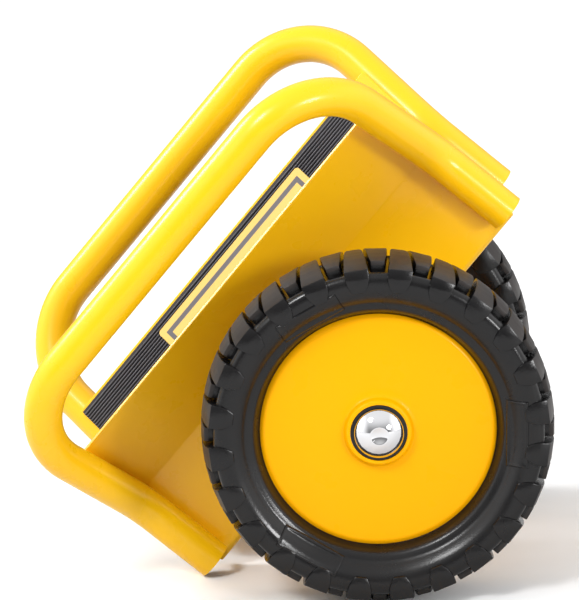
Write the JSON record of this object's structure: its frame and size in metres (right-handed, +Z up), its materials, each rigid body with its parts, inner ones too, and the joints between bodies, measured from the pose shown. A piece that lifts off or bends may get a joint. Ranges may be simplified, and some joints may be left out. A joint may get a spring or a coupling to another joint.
{
  "type": "self-clamping board trolley",
  "caption": "Two-wheeled trolley whose flared, rubber-lined jaws hinge inwards and grip a board, panel or door by its own weight; bent-tube handles on both sides.",
  "frame": {"origin": "on the floor, straight below the middle of the axle, with the trolley parked on its wheels and the lower ends of its handles", "axes": "+Z up; +Y along the axle, towards the jaw that carries the label; +X level, towards the raised end of the jaws"},
  "size_m": [0.3812, 0.333, 0.3792],
  "materials": {
    "yellow_paint": "gloss powder coat, bright yellow",
    "tyre_rubber": "semi-gloss moulded black rubber",
    "ribbed_rubber": "ribbed matt black rubber sheet",
    "black_rubber": "plain black rubber",
    "black_plastic": "black plastic",
    "label_print": "pale yellow printed vinyl with a dark band",
    "chrome": "bright chrome",
    "zinc_steel": "zinc plated"
  },
  "bodies": {
    "chassis": {"base_plate": "yellow_paint", "axle_housing": "zinc_steel", "axle": "zinc_steel", "hinge_pins": "zinc_steel", "pin_rings": "zinc_steel", "stop_bumpers": "black_rubber", "inboard_collars": "zinc_steel", "outboard_washers": "zinc_steel", "near_hub_cap": "chrome", "far_hub_cap": "chrome"},
    "near_jaw": {"near_jaw_plate": "yellow_paint", "near_knuckles": "yellow_paint", "near_handle": "yellow_paint", "near_wall_lining": "ribbed_rubber", "near_finger_pads": "black_rubber", "near_leg_plugs": "black_plastic"},
    "far_jaw": {"far_jaw_plate": "yellow_paint", "far_knuckles": "yellow_paint", "far_handle": "yellow_paint", "far_wall_lining": "ribbed_rubber", "far_finger_pads": "black_rubber", "far_leg_plugs": "black_plastic", "far_label": "label_print"},
    "near_wheel": {"near_tyre": "tyre_rubber", "near_outer_disc": "yellow_paint", "near_inner_disc": "yellow_paint", "near_hub_tube": "zinc_steel", "near_bearings": "zinc_steel", "near_seal_ring": "black_plastic"},
    "far_wheel": {"far_tyre": "tyre_rubber", "far_outer_disc": "yellow_paint", "far_inner_disc": "yellow_paint", "far_hub_tube": "zinc_steel", "far_bearings": "zinc_steel", "far_seal_ring": "black_plastic"}
  },
  "joints": [
    {"name": "near_wheel_spin", "type": "hinge", "parent": "chassis", "child": "near_wheel", "pos_m": [0, -0.1305, 0.127], "axis": [0, 1, 0], "continuous": true},
    {"name": "far_wheel_spin", "type": "hinge", "parent": "chassis", "child": "far_wheel", "pos_m": [0, 0.1305, 0.127], "axis": [0, 1, 0], "continuous": true},
    {"name": "near_jaw_close", "type": "hinge", "parent": "chassis", "child": "near_jaw", "pos_m": [0.0026, -0.034, 0.12465], "axis": [-0.6708, 0, -0.7416], "range_deg": [0, 20]},
    {"name": "far_jaw_close", "type": "hinge", "parent": "chassis", "child": "far_jaw", "pos_m": [0.0026, 0.034, 0.12465], "axis": [0.6708, 0, 0.7416], "range_deg": [0, 20]}
  ]
}
